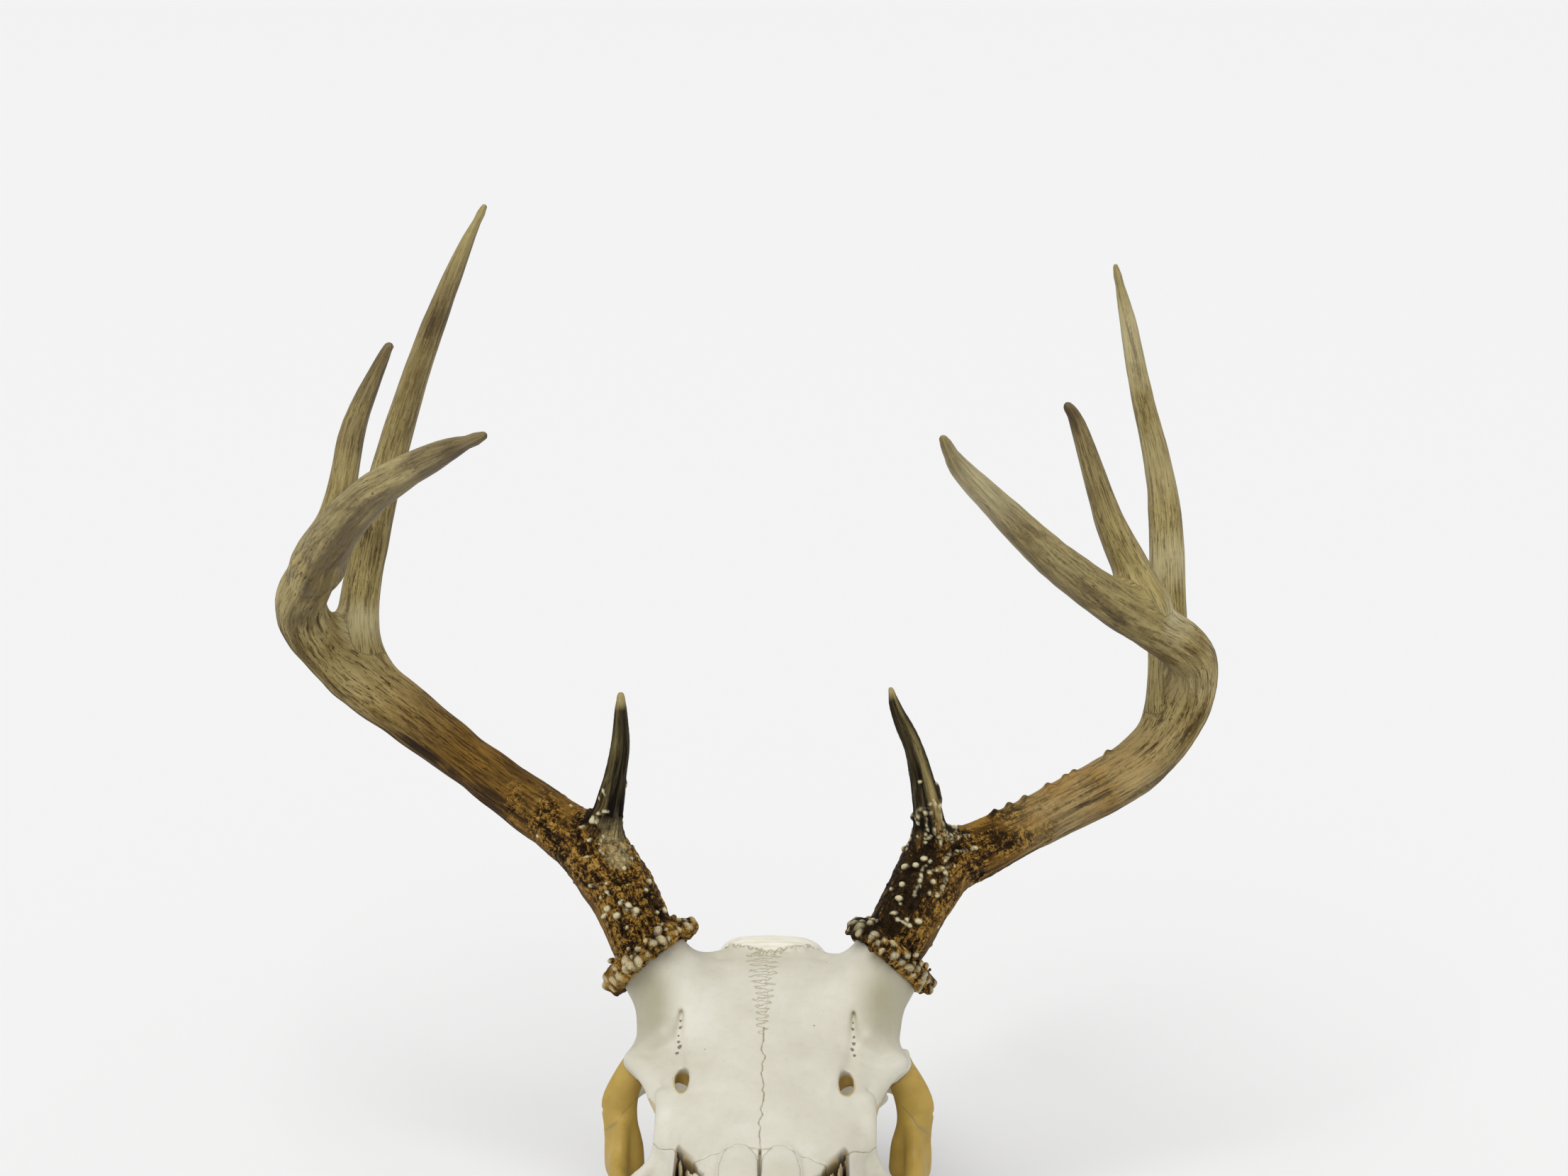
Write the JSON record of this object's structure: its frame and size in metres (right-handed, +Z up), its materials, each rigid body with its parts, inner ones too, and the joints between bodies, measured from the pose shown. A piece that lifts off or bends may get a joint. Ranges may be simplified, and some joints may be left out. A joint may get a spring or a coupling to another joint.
{
  "type": "deer skull",
  "caption": "White-tailed deer skull with both antlers and its upper cheek teeth, no lower jaw, resting on the teeth and the neck processes.",
  "frame": {"origin": "middle of the bounding box's base, on the surface the skull rests on; the skull's mid-plane is 10 mm to +X of it", "axes": "+Z up, the nose points to -Y, and +X is the animal's left"},
  "size_m": [0.36, 0.3376, 0.3814],
  "materials": {
    "cranial_bone": "matte cream bone with a faint sheen",
    "honey_bone": "cream bone stained honey yellow round the eye sockets",
    "tooth_and_bone": "cream bone with glossy worn tooth enamel",
    "antler_base": "dark brown pearled antler with polished cream beads",
    "antler_beam": "brown grooved antler, satin",
    "antler_tine": "olive to ivory polished antler tips"
  },
  "bodies": {
    "root": {"premaxilla_left": "cranial_bone", "premaxilla_right": "cranial_bone", "nasal_left": "cranial_bone", "nasal_right": "cranial_bone", "maxilla_left": "tooth_and_bone", "maxilla_right": "tooth_and_bone", "lacrimal_left": "cranial_bone", "lacrimal_right": "cranial_bone", "zygomatic_left": "honey_bone", "zygomatic_right": "honey_bone", "frontal_left": "cranial_bone", "frontal_right": "cranial_bone", "temporal_left": "cranial_bone", "temporal_right": "cranial_bone", "parietal": "cranial_bone", "occipital": "cranial_bone", "sphenoid": "cranial_bone", "antler_left_base": "antler_base", "antler_left_brow_tine": "antler_tine", "antler_left_lower_beam": "antler_beam", "antler_left_second_tine": "antler_tine", "antler_left_middle_beam": "antler_beam", "antler_left_third_tine": "antler_tine", "antler_left_upper_beam": "antler_tine", "antler_right_base": "antler_base", "antler_right_brow_tine": "antler_tine", "antler_right_lower_beam": "antler_beam", "antler_right_second_tine": "antler_tine", "antler_right_middle_beam": "antler_beam", "antler_right_third_tine": "antler_tine", "antler_right_upper_beam": "antler_tine"}
  },
  "joints": []
}
